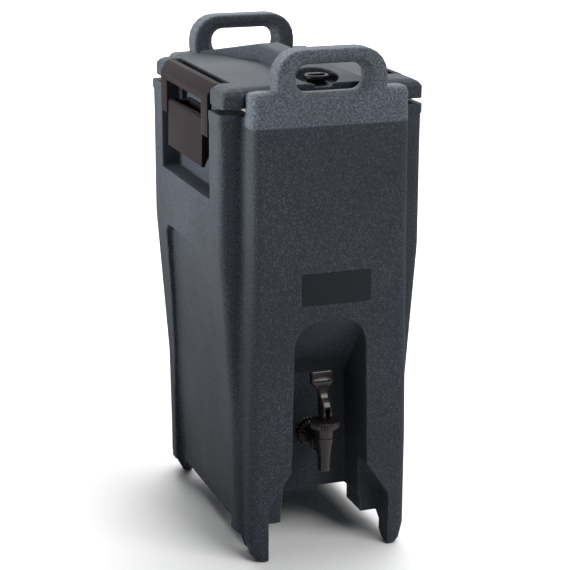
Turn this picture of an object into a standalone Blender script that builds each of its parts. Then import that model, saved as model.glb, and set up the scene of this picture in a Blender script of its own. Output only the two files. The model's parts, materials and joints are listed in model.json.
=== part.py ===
"""Insulated beverage server: a double-walled tank on four feet, with a lift-off lid held by two draw
latches, two moulded carrying handles and a self-closing faucet in a front alcove.

Metres, +Z up, -Y is the faucet side. The origin is on the floor, under the centre of the body.
"""
from math import cos, pi, radians, sin, tan

import bmesh
import bpy
from mathutils import Matrix, Vector

# ---------------------------------------------------------------- driving dimensions (metres)
HEIGHT = 0.620                # top of the handles
HALF_DEPTH = 0.173            # front and back faces
BODY_HALF_Y = 0.141           # main block, between the raised front and back panels
PANEL_INNER_Y = 0.143         # side of the raised panels that faces the lid
RIM_Z = 0.545                 # top of the body
SHOULDER_Z = 0.573            # top of the raised panels
SKIRT_Z = 0.028               # underside of the walls, above the feet
PANEL_FOOT_Z = 0.0005         # the raised panels stop just short of the floor
GAP = 0.0003                  # between touching pieces
STEP = 0.0002                 # keeps faces that are joined by a Boolean from lying in one plane
# (height, half width) of the main block and of the raised panels, from the floor up
BODY_TAPER = ((SKIRT_Z, 0.1085), (0.180, 0.1115), (0.372, 0.126), (0.533, 0.126),
              (0.534, 0.127), (RIM_Z, 0.127))
PANEL_TAPER = ((0.0, 0.1010), (0.140, 0.1015), (0.385, 0.0980), (0.600, 0.0970))

HANDLE_HALF_X = 0.068
HANDLE_CORNER = 0.032
HANDLE_HOLE_HALF_X = 0.042
HANDLE_HOLE_Z = (0.570, 0.602)

POCKET_HALF_Y = 0.100         # latch pockets in the sides
POCKET_FLOOR_Z = 0.438
POCKET_WALL_X = 0.100

ALCOVE_HALF_X = (0.0512, 0.0445)   # at the floor and at the top
ALCOVE_TOP_Z = 0.299
ALCOVE_WALL_Y = -0.098
ALCOVE_WALL_TOP_Z = 0.212
CHANNEL_HALF_X = 0.052        # channel under the body, between the legs
CHANNEL_Z = 0.058
UNDERCUT_HALF = (0.0800, 0.0980)  # the wider hollow under the middle of the body
PAD_Z = 0.037                 # underside of the blocks between that hollow and the panels
NOTCH_HALF_X = 0.078          # foot notches that clear the handles of a server stacked below

# (end, X from and to, distance from the middle along Y) of the feet
FEET = ((-1, 0.082, 0.095, 0.088, 0.163), (1, 0.080, 0.090, 0.130, 0.158))

CAVITY_HALF_X = 0.095
LINER_HALF_X = 0.084
LINER_WALL = 0.003
MOUTH_HALF_X = 0.084
MOUTH_HALF_Y = 0.130

LID_Z = (0.552, 0.575)
LID_HALF_X = 0.1240
LID_HALF_Y = 0.1423
LID_WING_Y = (0.1460, 0.1310)     # how far the lid's front and back corners reach
LID_NOTCH_X = 0.1085
LID_GROOVE_X = 0.099
SPINE_Z = 0.597
VENT_Y = -0.118
VENT_WELL_R = 0.026
VENT_FLOOR_Z = 0.5715
BUSHING_R = 0.0095

LEVER_PIVOT = (0.113, 0.524)  # (distance from the middle, height) of a latch lever's pin
HOOK_PIVOT = (0.1115, 0.514)  # the same for the pin that carries the hook frame
PIN_R = 0.0020
LATCH_HALF_Y = 0.097
LEVER_HALF_Y = 0.0705

FAUCET_Y = -0.155             # axis of the spout
FAUCET_Z = 0.135              # axis of the shank
FAUCET_PIN_Z = 0.181
SPOUT_TIP_Z = 0.103
SHANK_R = 0.0090

NAMEPLATE_X = (-0.036, 0.050)
NAMEPLATE_Z = (0.319, 0.357)
NAMEPLATE_T = 0.0012

SCREW_R = 0.0020
SCREW_PLACES = [(y, z) for y in (-0.044, 0.044) for z in (0.492, 0.511)]

# ---------------------------------------------------------------- scene, collections, materials
for old in list(bpy.data.objects):
    bpy.data.objects.remove(old, do_unlink=True)


def make_collection(name):
    group = bpy.data.collections.new(name)
    bpy.context.scene.collection.children.link(group)
    return group


PARTS = make_collection("insulated_beverage_server")
CUTTERS = make_collection("cutters")


def make_material(name, colour, roughness, metallic=0.0):
    mat = bpy.data.materials.new(name)
    mat.use_nodes = True
    shader = mat.node_tree.nodes["Principled BSDF"]
    shader.inputs["Base Color"].default_value = (*colour, 1.0)
    shader.inputs["Roughness"].default_value = roughness
    shader.inputs["Metallic"].default_value = metallic
    return mat


SLATE = make_material("slate_polyethylene", (0.050, 0.060, 0.066), 0.55)
LINER_WHITE = make_material("liner_polyethylene", (0.42, 0.44, 0.44), 0.45)
FOAM = make_material("polyurethane_foam", (0.75, 0.66, 0.42), 0.90)
BROWN = make_material("latch_nylon", (0.060, 0.045, 0.045), 0.50)
GLOSS = make_material("faucet_black", (0.016, 0.010, 0.010), 0.18)
RUBBER = make_material("seal_silicone", (0.55, 0.53, 0.48), 0.60)
STEEL = make_material("stainless_steel", (0.62, 0.61, 0.58), 0.28, 1.0)
PLATE = make_material("nameplate_vinyl", (0.030, 0.036, 0.040), 0.35)


def finish(obj, mat, smooth=False, pivot=None):
    """Give a piece its material, put it in the parts collection and set its origin on its axis."""
    if pivot is not None:
        obj.data.transform(Matrix.Translation(-Vector(pivot)))
        obj.location = Vector(pivot)
    obj.data.materials.clear()
    obj.data.materials.append(mat)
    if smooth:
        obj.data.shade_smooth()
        obj.data.set_sharp_from_angle(angle=radians(35))
    for group in list(obj.users_collection):
        group.objects.unlink(obj)
    PARTS.objects.link(obj)
    return obj


# ---------------------------------------------------------------- shape helpers
def mesh_object(name, bm):
    """A new object in the cutters collection, faces pointing out."""
    bmesh.ops.recalc_face_normals(bm, faces=bm.faces)
    if bm.calc_volume(signed=True) < 0:
        bmesh.ops.reverse_faces(bm, faces=bm.faces)
    mesh = bpy.data.meshes.new(name)
    bm.to_mesh(mesh)
    bm.free()
    obj = bpy.data.objects.new(name, mesh)
    CUTTERS.objects.link(obj)
    return obj


def box(name, low, high):
    bm = bmesh.new()
    bmesh.ops.create_cube(bm, size=1.0)
    low = Vector(low)
    high = Vector(high)
    for vert in bm.verts:
        vert.co = Vector(l + (h - l) * (c + 0.5) for l, h, c in zip(low, high, vert.co))
    return mesh_object(name, bm)


def cylinder(name, radius, start, end, steps=16, end_radius=None):
    """A cylinder or cone from one point to another, with flat ends."""
    start = Vector(start)
    end = Vector(end)
    along = end - start
    turn = along.to_track_quat("Z", "Y").to_matrix().to_4x4()
    bm = bmesh.new()
    top = radius if end_radius is None else end_radius
    bmesh.ops.create_cone(bm, cap_ends=True, segments=steps, radius1=radius, radius2=top,
                          depth=along.length)
    bm.transform(Matrix.Translation((start + end) / 2) @ turn)
    return mesh_object(name, bm)


def turned(name, profile, centre, axis=(0, 0, 1), steps=24):
    """A turned solid: profile is (radius, distance along the axis), from the axis back to it."""
    turn = Vector(axis).to_track_quat("Z", "Y").to_matrix().to_4x4()
    rings = []
    for radius, along in profile:
        rings.append([(radius * cos(2 * pi * k / steps), radius * sin(2 * pi * k / steps), along)
                      for k in range(steps)])
    obj = skin(name, rings)
    obj.data.transform(Matrix.Translation(centre) @ turn)
    return obj


def ring_solid(name, outer, inner, low, high, centre, axis=(0, 0, 1), steps=24):
    """A flat washer or sleeve between two distances along its axis."""
    body = turned(name, ((outer, low), (outer, high)), centre, axis, steps)
    hole = turned(name + "_hole", ((inner, low - 0.01), (inner, high + 0.01)), centre, axis, steps)
    return combine(body, [(hole, "DIFFERENCE")])


def rounded(corners, steps=4):
    """Outline through (u, v, radius) corners, with true arcs at the corners that have a radius."""
    points = []
    count = len(corners)
    for index, (u, v, radius) in enumerate(corners):
        here = Vector((u, v))
        if radius == 0:
            points.append(here)
            continue
        back = (Vector(corners[index - 1][:2]) - here).normalized()
        ahead = (Vector(corners[(index + 1) % count][:2]) - here).normalized()
        half = back.angle(ahead) / 2
        centre = here + (back + ahead).normalized() * (radius / sin(half))
        start = here + back * (radius / tan(half)) - centre
        end = here + ahead * (radius / tan(half)) - centre
        sweep = start.angle_signed(end)
        for step in range(steps + 1):
            points.append(centre + Matrix.Rotation(-sweep * step / steps, 2) @ start)
    return points


PLANES = {
    "XY": Matrix.Identity(4),
    "XZ": Matrix(((1, 0, 0, 0), (0, 0, -1, 0), (0, 1, 0, 0), (0, 0, 0, 1))),
    "YZ": Matrix(((0, 0, 1, 0), (1, 0, 0, 0), (0, 1, 0, 0), (0, 0, 0, 1))),
}


def prism(name, plane, outline, low, high, holes=()):
    """A flat outline with optional holes, given in one plane and thickened across it.

    low and high are distances along +Z for XY, along -Y for XZ and along +X for YZ.
    """
    curve = bpy.data.curves.new(name, "CURVE")
    curve.dimensions = "2D"
    curve.fill_mode = "BOTH"
    curve.extrude = (high - low) / 2
    for loop in (outline, *holes):
        spline = curve.splines.new("POLY")
        spline.points.add(len(loop) - 1)
        for point, (u, v) in zip(spline.points, loop):
            point.co = (u, v, 0.0, 1.0)
        spline.use_cyclic_u = True
    flat = bpy.data.objects.new(name, curve)
    CUTTERS.objects.link(flat)
    flat.matrix_world = PLANES[plane] @ Matrix.Translation((0, 0, (low + high) / 2))
    return mesh_from(flat, 0.00001)


def mesh_from(source, weld=0.0000005):
    """Turn a curve, or an object with modifiers, into a plain mesh in world space."""
    name = source.name
    bpy.context.view_layer.update()
    evaluated = source.evaluated_get(bpy.context.evaluated_depsgraph_get())
    mesh = bpy.data.meshes.new_from_object(evaluated)
    mesh.transform(source.matrix_world)
    bm = bmesh.new()
    bm.from_mesh(mesh)
    bpy.data.meshes.remove(mesh)
    bpy.data.objects.remove(source, do_unlink=True)
    bmesh.ops.remove_doubles(bm, verts=bm.verts, dist=weld)
    return mesh_object(name, bm)


def skin(name, rings):
    """A closed solid through rings of points, the first and last ring capped."""
    bm = bmesh.new()
    loops = [[bm.verts.new(point) for point in ring] for ring in rings]
    count = len(loops[0])
    for lower, upper in zip(loops, loops[1:]):
        for k in range(count):
            bm.faces.new((lower[k], lower[(k + 1) % count], upper[(k + 1) % count], upper[k]))
    bm.faces.new(reversed(loops[0]))
    bm.faces.new(loops[-1])
    return mesh_object(name, bm)


def combine(target, steps):
    """Join or cut a solid with others, one exact Boolean after another."""
    for tool, operation in steps:
        tool.hide_render = True
        tool.display_type = "WIRE"
        modifier = target.modifiers.new(tool.name, "BOOLEAN")
        modifier.object = tool
        modifier.operation = operation
        modifier.solver = "EXACT"
    name = target.name
    solid = mesh_from(target)
    solid.name = name
    for tool, _ in steps:
        bpy.data.objects.remove(tool, do_unlink=True)
    return solid


def soften(obj, width, segments=1, angle=50):
    """Round the sharp edges of a simple solid."""
    modifier = obj.modifiers.new("edges", "BEVEL")
    modifier.width = width
    modifier.segments = segments
    modifier.limit_method = "ANGLE"
    modifier.angle_limit = radians(angle)
    return mesh_from(obj)


def at_height(table, z):
    """Half width at a height, straight between the table's rows."""
    for (z0, w0), (z1, w1) in zip(table, table[1:]):
        if z <= z1:
            return w0 + (w1 - w0) * (z - z0) / (z1 - z0)
    return table[-1][1]


def side_name(side):
    return "left" if side < 0 else "right"


def mirrored(points, side):
    """Outline points (distance outward, height) as (x, z) on the left or right side."""
    return [(side * u, v) for u, v in points]


# ---------------------------------------------------------------- body
def main_block():
    rings = []
    for z, half in BODY_TAPER:
        depth = BODY_HALF_Y + max(0.0, half - 0.126)
        plan = rounded([(-half, -depth, 0.007), (half, -depth, 0.007),
                        (half, depth, 0.007), (-half, depth, 0.007)], 3)
        rings.append([(x, y, z) for x, y in plan])
    return skin("outer_shell", rings)


def raised_panel(end):
    """The raised panel on the front (end -1) or back (end 1), from the floor to its shoulders."""
    web = 0.006
    root = BODY_HALF_Y - 0.016
    # (height, how far the sides and the face are drawn in there): the back legs taper to a toe
    levels = [(PANEL_FOOT_Z, 0.005, 0.0), (0.006, 0.0, 0.0)]
    if end > 0:
        levels = [(PANEL_FOOT_Z, 0.013, 0.013), (0.025, 0.0, 0.0)]
    rings = []
    for z, narrow, back in levels + [(0.140, 0.0, 0.0), (0.385, 0.0, 0.0), (RIM_Z - 0.003, 0.0, 0.0)]:
        half = at_height(PANEL_TAPER, z) - narrow
        face = HALF_DEPTH - 2 * STEP - back
        plan = rounded([(-half - web, root, 0), (-half - web, BODY_HALF_Y - STEP, 0),
                        (-half, BODY_HALF_Y + web, 0), (-half, face, 0.011),
                        (half, face, 0.011), (half, BODY_HALF_Y + web, 0),
                        (half + web, BODY_HALF_Y - STEP, 0), (half + web, root, 0)], 4)
        rings.append([(x, end * y, z) for x, y in plan])
    return skin("raised_panel", rings)


def panel_top(end):
    """The part of a raised panel that stands above the rim, with rounded shoulders."""
    rings = []
    for z, inset in ((RIM_Z - 0.020, 0.0), (SHOULDER_Z - 0.007, 0.0), (SHOULDER_Z - 0.002, 0.002),
                     (SHOULDER_Z, 0.007)):
        half = at_height(PANEL_TAPER, SHOULDER_Z) - STEP - inset
        face = HALF_DEPTH - STEP - inset
        plan = rounded([(-half, PANEL_INNER_Y + inset, 0.005), (half, PANEL_INNER_Y + inset, 0.005),
                        (half, face, 0.011 - inset), (-half, face, 0.011 - inset)], 4)
        rings.append([(x, end * y, z) for x, y in plan])
    return skin("panel_top", rings)


def rounded_rectangle(half_u, low_v, high_v, radius, steps=5):
    return rounded([(-half_u, low_v, radius), (half_u, low_v, radius),
                    (half_u, high_v, radius), (-half_u, high_v, radius)], steps)


def handle(end):
    """A handle loop without its hole: a rounded slab whose foot is buried in the raised panel."""
    levels = []
    edge = 0.0035
    for turn in (0, 30, 60, 90):
        inset = edge * (1 - sin(radians(turn)))
        depth = PANEL_INNER_Y + STEP + edge * (1 - cos(radians(turn)))
        levels.append((inset, depth))
    for turn in (90, 60, 30, 0):
        inset = edge * (1 - sin(radians(turn)))
        levels.append((inset, HALF_DEPTH - edge * (1 - cos(radians(turn)))))
    rings = []
    for inset, depth in levels:
        outline = rounded_rectangle(HANDLE_HALF_X - inset, RIM_Z + 0.002 + inset, HEIGHT - inset,
                                    HANDLE_CORNER - inset)
        rings.append([(x, end * depth, z) for x, z in outline])
    return skin("handle", rings)


def handle_hole(end):
    """The finger opening, flared towards both faces of the handle."""
    rings = []
    flare = 0.009
    low, high = HANDLE_HOLE_Z
    for depth, spread in ((PANEL_INNER_Y - 0.004, flare + 0.001), (PANEL_INNER_Y, flare),
                          (PANEL_INNER_Y + 0.004, 0.004), (PANEL_INNER_Y + 0.010, 0.0),
                          (HALF_DEPTH - 0.010, 0.0), (HALF_DEPTH - 0.004, 0.004),
                          (HALF_DEPTH, flare), (HALF_DEPTH + 0.004, flare + 0.001)):
        outline = rounded_rectangle(HANDLE_HOLE_HALF_X + spread, low - spread, high + spread,
                                    0.0145 + spread)
        rings.append([(x, end * depth, z) for x, z in outline])
    return skin("handle_hole", rings)


def alcove():
    """The faucet alcove: an arch whose ceiling slopes down to its back wall."""
    foot, top = ALCOVE_HALF_X
    arch = rounded([(-foot, -0.01, 0), (foot, -0.01, 0), (top, ALCOVE_TOP_Z, 0.033),
                    (-top, ALCOVE_TOP_Z, 0.033)], 6)
    cutter = prism("alcove", "XZ", arch, -ALCOVE_WALL_Y, HALF_DEPTH + 0.01)
    bm = bmesh.new()
    bm.from_mesh(cutter.data)
    rise = ALCOVE_TOP_Z - ALCOVE_WALL_TOP_Z
    run = HALF_DEPTH + ALCOVE_WALL_Y
    normal = Vector((0, rise, run))
    cut = bmesh.ops.bisect_plane(bm, geom=bm.verts[:] + bm.edges[:] + bm.faces[:],
                                 plane_co=(0, ALCOVE_WALL_Y, ALCOVE_WALL_TOP_Z), plane_no=normal,
                                 clear_outer=True)
    rim = [edge for edge in cut["geom_cut"] if isinstance(edge, bmesh.types.BMEdge)]
    bmesh.ops.contextual_create(bm, geom=rim)
    bpy.data.objects.remove(cutter, do_unlink=True)
    return mesh_object("alcove", bm)


def foot_notch(end):
    """The wide notch at the foot of a raised panel, 30 mm deep."""
    outline = rounded([(-NOTCH_HALF_X, -0.01, 0), (NOTCH_HALF_X, -0.01, 0),
                       (NOTCH_HALF_X, 0.068, 0.022), (0.049, 0.110, 0.006),
                       (-0.049, 0.110, 0.006), (-NOTCH_HALF_X, 0.068, 0.022)], 4)
    span = (PANEL_INNER_Y, HALF_DEPTH + 0.01)
    low, high = span if end < 0 else (-span[1], -span[0])
    return prism("foot_notch", "XZ", outline, low, high)


def side_panel(side):
    """The shallow sunk panel on a side, open at the bottom and following the side's slope."""
    top_z = 0.366
    depth = 0.010
    top_x = at_height(BODY_TAPER, top_z) - depth
    foot_x = 0.0975
    outline = rounded([(0.121, -0.01, 0), (0.117, 0.120, 0.080), (0.098, 0.262, 0.080),
                       (0.093, top_z, 0.020), (-0.093, top_z, 0.020), (-0.098, 0.262, 0.080),
                       (-0.117, 0.120, 0.080), (-0.121, -0.01, 0)], 4)
    cutter = prism("side_panel", "YZ", outline, 0.0, 0.030)
    for vert in cutter.data.vertices:
        slope = (top_x - foot_x) / (top_z - SKIRT_Z)
        vert.co.x += foot_x + slope * (vert.co.z - SKIRT_Z)
        vert.co.x *= side
    if side < 0:
        cutter.data.flip_normals()
    return cutter


def cavity(name, half_x, half_y, inset, top_z):
    """The room inside the walls: a profile that steps over the alcove, thickened across X."""
    ledge_z = 0.312 + inset * 1.5
    front = ALCOVE_WALL_Y + 0.006 + inset
    floor_z = 0.066 + inset
    profile = [(front, floor_z, 0.006), (0.132 - inset, floor_z, 0.006),
               (min(0.134 - inset * 0.2, half_y), 0.122 + inset, 0), (half_y, 0.124 + inset, 0),
               (half_y, top_z, 0), (-half_y, top_z, 0), (-half_y, ledge_z, 0), (front, 0.226 + inset, 0)]
    return prism(name, "YZ", rounded(profile, 2), -half_x, half_x)


def build_shell():
    steps = []
    for end in (-1, 1):
        steps += [(raised_panel(end), "UNION"), (panel_top(end), "UNION"), (handle(end), "UNION")]
    for end in (-1, 1):
        steps += [(handle_hole(end), "DIFFERENCE"), (foot_notch(end), "DIFFERENCE")]
    channel = box("channel", (-CHANNEL_HALF_X, -0.2, -0.01), (CHANNEL_HALF_X, 0.2, CHANNEL_Z))
    under = box("under", (-0.2, -PANEL_INNER_Y, -0.01), (0.2, PANEL_INNER_Y, SKIRT_Z))
    hollow_x, hollow_y = UNDERCUT_HALF
    hollow = box("undercut", (-hollow_x, -hollow_y, -0.01), (hollow_x, hollow_y, CHANNEL_Z - 2 * STEP))
    pads = box("pads", (-hollow_x - STEP, STEP - PANEL_INNER_Y, -0.01),
               (hollow_x + STEP, PANEL_INNER_Y - STEP, PAD_Z))
    for tool in (channel, under, hollow, pads, alcove()):
        steps.append((tool, "DIFFERENCE"))
    for side in (-1, 1):
        pocket = box("pocket", (min(side * POCKET_WALL_X, side * 0.2), -POCKET_HALF_Y, POCKET_FLOOR_Z),
                     (max(side * POCKET_WALL_X, side * 0.2), POCKET_HALF_Y, 0.7))
        steps += [(pocket, "DIFFERENCE"), (side_panel(side), "DIFFERENCE")]
    for side in (-1, 1):
        for end, from_x, to_x, from_y, to_y in FEET:
            ramp = (to_y - from_y) * 0.5
            outline = [(end * to_y, 0.0), (end * to_y, PAD_Z + 0.004), (end * from_y, PAD_Z + 0.004),
                       (end * from_y, 0.022), (end * (from_y + ramp), 0.0)]
            foot = prism("foot", "YZ", outline, *sorted((side * from_x, side * to_x)))
            steps.append((soften(foot, 0.002), "UNION"))
    steps.append((cavity("cavity", CAVITY_HALF_X, 0.136, 0.0, 0.535), "DIFFERENCE"))
    steps.append((cavity("cavity_ends", 0.086, 0.162, 0.0005, 0.5345), "DIFFERENCE"))
    mouth = box("mouth", (-MOUTH_HALF_X - GAP, -MOUTH_HALF_Y - GAP, 0.5),
                (MOUTH_HALF_X + GAP, MOUTH_HALF_Y + GAP, 0.6))
    steps.append((mouth, "DIFFERENCE"))
    shank_hole = cylinder("shank_hole", SHANK_R + GAP, (0, -0.12, FAUCET_Z), (0, -0.08, FAUCET_Z), 24)
    steps.append((shank_hole, "DIFFERENCE"))
    plate = box("plate_seat", (NAMEPLATE_X[0] - GAP, -0.2, NAMEPLATE_Z[0] - GAP),
                (NAMEPLATE_X[1] + GAP, -HALF_DEPTH + NAMEPLATE_T + GAP, NAMEPLATE_Z[1] + GAP))
    steps.append((plate, "DIFFERENCE"))
    for side in (-1, 1):
        for y, z in SCREW_PLACES:
            hole = cylinder("screw_hole", SCREW_R + GAP, (side * (POCKET_WALL_X - 0.0040), y, z),
                            (side * 0.11, y, z), 10)
            steps.append((hole, "DIFFERENCE"))
    return finish(combine(main_block(), steps), SLATE, smooth=True)


def build_liner():
    outer = cavity("inner_liner", LINER_HALF_X, 0.150, 0.012, 0.520)
    neck = box("neck", (-MOUTH_HALF_X, -MOUTH_HALF_Y, 0.51), (MOUTH_HALF_X, MOUTH_HALF_Y, RIM_Z + 0.002))
    flange = box("flange", (-0.092, -0.138, RIM_Z + GAP), (0.092, 0.138, RIM_Z + 0.0033))
    inside = cavity("inside", LINER_HALF_X - LINER_WALL, 0.150 - LINER_WALL, 0.012 + LINER_WALL,
                    0.520 - LINER_WALL)
    mouth = box("mouth", (-MOUTH_HALF_X + LINER_WALL, -MOUTH_HALF_Y + LINER_WALL, 0.50),
                (MOUTH_HALF_X - LINER_WALL, MOUTH_HALF_Y - LINER_WALL, 0.6))
    hole = cylinder("hole", SHANK_R + GAP, (0, -0.10, FAUCET_Z), (0, -0.06, FAUCET_Z), 24)
    solid = combine(outer, [(neck, "UNION"), (flange, "UNION"), (inside, "DIFFERENCE"),
                            (mouth, "DIFFERENCE"), (hole, "DIFFERENCE")])
    return finish(solid, LINER_WHITE)


def build_foam():
    solid = cavity("foam_insulation", CAVITY_HALF_X - GAP, 0.136 - GAP, GAP, 0.535 - GAP)
    ends = cavity("ends", 0.086 - GAP, 0.162 - GAP, 0.0005 + GAP, 0.5345 - GAP)
    liner = cavity("liner_room", LINER_HALF_X + GAP, 0.150 + GAP, 0.012 - GAP, 0.520 + GAP)
    neck = box("neck_room", (-MOUTH_HALF_X - GAP, -MOUTH_HALF_Y - GAP, 0.50),
               (MOUTH_HALF_X + GAP, MOUTH_HALF_Y + GAP, 0.6))
    hole = cylinder("hole", SHANK_R + GAP, (0, -0.11, FAUCET_Z), (0, -0.06, FAUCET_Z), 24)
    solid = combine(solid, [(ends, "UNION"), (liner, "DIFFERENCE"), (neck, "DIFFERENCE"),
                            (hole, "DIFFERENCE")])
    return finish(solid, FOAM)


# ---------------------------------------------------------------- lid
def lid_plan(inset=0.0):
    """The lid's outline: full width, with corners that reach past the raised panels."""
    wing = 0.0985 + inset * 0.3
    tongue = 0.0985 - inset
    x = LID_HALF_X - inset
    y = LID_HALF_Y - inset
    front, back = (reach - inset for reach in LID_WING_Y)
    corners = [(-x, -front, 0.004), (-wing, -front, 0), (-wing, -y, 0), (wing, -y, 0),
               (wing, -front, 0), (x, -front, 0.004), (x, back, 0.004), (tongue, back, 0),
               (tongue, y, 0), (-tongue, y, 0), (-tongue, back, 0), (-x, back, 0.004)]
    return rounded(corners, 2)


def lid_body():
    """The lid's outer form: upright sides under a wide rounded edge."""
    low, high = LID_Z
    rings = []
    for z, inset in ((low, 0.0), (high - 0.0080, 0.0), (high - 0.0035, 0.0035), (high - 0.0007, 0.0090),
                     (high, 0.0130)):
        rings.append([(x, y, z) for x, y in lid_plan(inset)])
    return skin("lid_shell", rings)


def lid_spine():
    """The raised spine along the lid, fanning out and falling away towards both ends."""
    rings = []
    reach = LID_HALF_Y - STEP
    for y, half, top in ((-reach, 0.062, 0.5758), (-0.045, 0.014, SPINE_Z),
                         (0.045, 0.014, SPINE_Z), (reach, 0.062, 0.5758)):
        corner = min(0.003, (top - LID_Z[1]) * 0.4)
        rings.append([(-half, y, 0.570), (half, y, 0.570), (half, y, top - corner),
                      (half - corner, y, top), (corner - half, y, top), (-half, y, top - corner)])
    return skin("spine", rings)


def vent_hole(radius, low, high):
    return cylinder("vent_hole", radius, (0, VENT_Y, low), (0, VENT_Y, high), 24)


def bushing_hole():
    return vent_hole(BUSHING_R + GAP, 0.5, VENT_FLOOR_Z + 0.005)


def build_lid():
    steps = [(lid_spine(), "UNION")]
    for side in (-1, 1):
        notch = box("notch", (min(side * LID_NOTCH_X, side * 0.2), -0.0985, 0.5),
                    (max(side * LID_NOTCH_X, side * 0.2), 0.0985, 0.6))
        groove = box("groove", (min(side * LID_GROOVE_X, side * 0.2), -0.0985, 0.5645),
                     (max(side * LID_GROOVE_X, side * 0.2), 0.0985, 0.6))
        steps += [(notch, "DIFFERENCE"), (groove, "DIFFERENCE")]
    steps.append((vent_hole(VENT_WELL_R, VENT_FLOOR_Z, 0.62), "DIFFERENCE"))
    steps.append((bushing_hole(), "DIFFERENCE"))
    steps.append((lid_room("lid_room", 0.0), "DIFFERENCE"))
    finish(combine(lid_body(), steps), SLATE, smooth=True)
    finish(combine(lid_room("lid_foam", GAP), [(bushing_hole(), "DIFFERENCE")]), FOAM)

    pan = box("lid_pan", (-0.094, -0.138, LID_Z[0] - 0.0003), (0.094, 0.138, LID_Z[0] + 0.0022))
    plug = box("plug", (-0.078, -0.106, 0.530), (0.078, 0.106, LID_Z[0] + 0.001))
    pan = combine(pan, [(soften(plug, 0.006, 2), "UNION"), (bushing_hole(), "DIFFERENCE")])
    finish(pan, SLATE)

    ring = box("lid_gasket", (-0.091, -0.137, RIM_Z + 0.0036), (0.091, 0.137, LID_Z[0] - 0.0006))
    hole = box("gasket_hole", (-0.0825, -0.1285, 0.5), (0.0825, 0.1285, 0.6))
    finish(combine(ring, [(hole, "DIFFERENCE")]), RUBBER)


def lid_room(name, inset):
    """The hollow in the lid that the foam fills, open below."""
    low = LID_Z[0] - 0.01 if inset == 0.0 else LID_Z[0] + 0.0028
    half_x = 0.0943 - inset
    half_y = 0.1383 - inset
    return box(name, (-half_x, -half_y, low), (half_x, half_y, 0.5645 - inset))


def build_vent():
    """The vent cap in its well, the bushing that carries its stem, and the seal between them."""
    ring = ring_solid("vent_bushing", BUSHING_R, 0.0068, LID_Z[0] - 0.0008, VENT_FLOOR_Z, (0, VENT_Y, 0))
    finish(ring, SLATE, smooth=True)
    seal = ring_solid("vent_seal", 0.0135, 0.0068, VENT_FLOOR_Z + GAP, VENT_FLOOR_Z + 0.0018,
                      (0, VENT_Y, 0))
    finish(seal, RUBBER, smooth=True)
    head_z = VENT_FLOOR_Z + 0.0021
    profile = ((0.0110, 0.0), (0.0110, 0.0032), (0.0138, 0.0038), (0.0150, 0.0050), (0.0150, 0.0078),
               (0.0138, 0.0092), (0.0116, 0.0092), (0.0106, 0.0078))
    cap = turned("vent_cap", profile, (0, VENT_Y, head_z), steps=36)
    stem = cylinder("stem", 0.0064, (0, VENT_Y, head_z + 0.003), (0, VENT_Y, LID_Z[0] - 0.0015), 24)
    bar = box("bar", (-0.0098, VENT_Y - 0.0022, head_z + 0.0060), (0.0098, VENT_Y + 0.0022, head_z + 0.0104))
    cap = combine(cap, [(stem, "UNION"), (bar, "UNION")])
    finish(cap, BROWN, smooth=True, pivot=(0, VENT_Y, head_z))


# ---------------------------------------------------------------- latches
def circle(centre, radius, steps=16):
    return [(centre[0] + radius * cos(2 * pi * k / steps), centre[1] + radius * sin(2 * pi * k / steps))
            for k in range(steps)]


def latch_prism(name, side, outline, low_y, high_y, holes=()):
    """An outline of (distance outward, height) on one side, thickened between two Y values."""
    loops = [mirrored(loop, side) for loop in (outline, *holes)]
    return prism(name, "XZ", loops[0], -high_y, -low_y, loops[1:])


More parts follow.
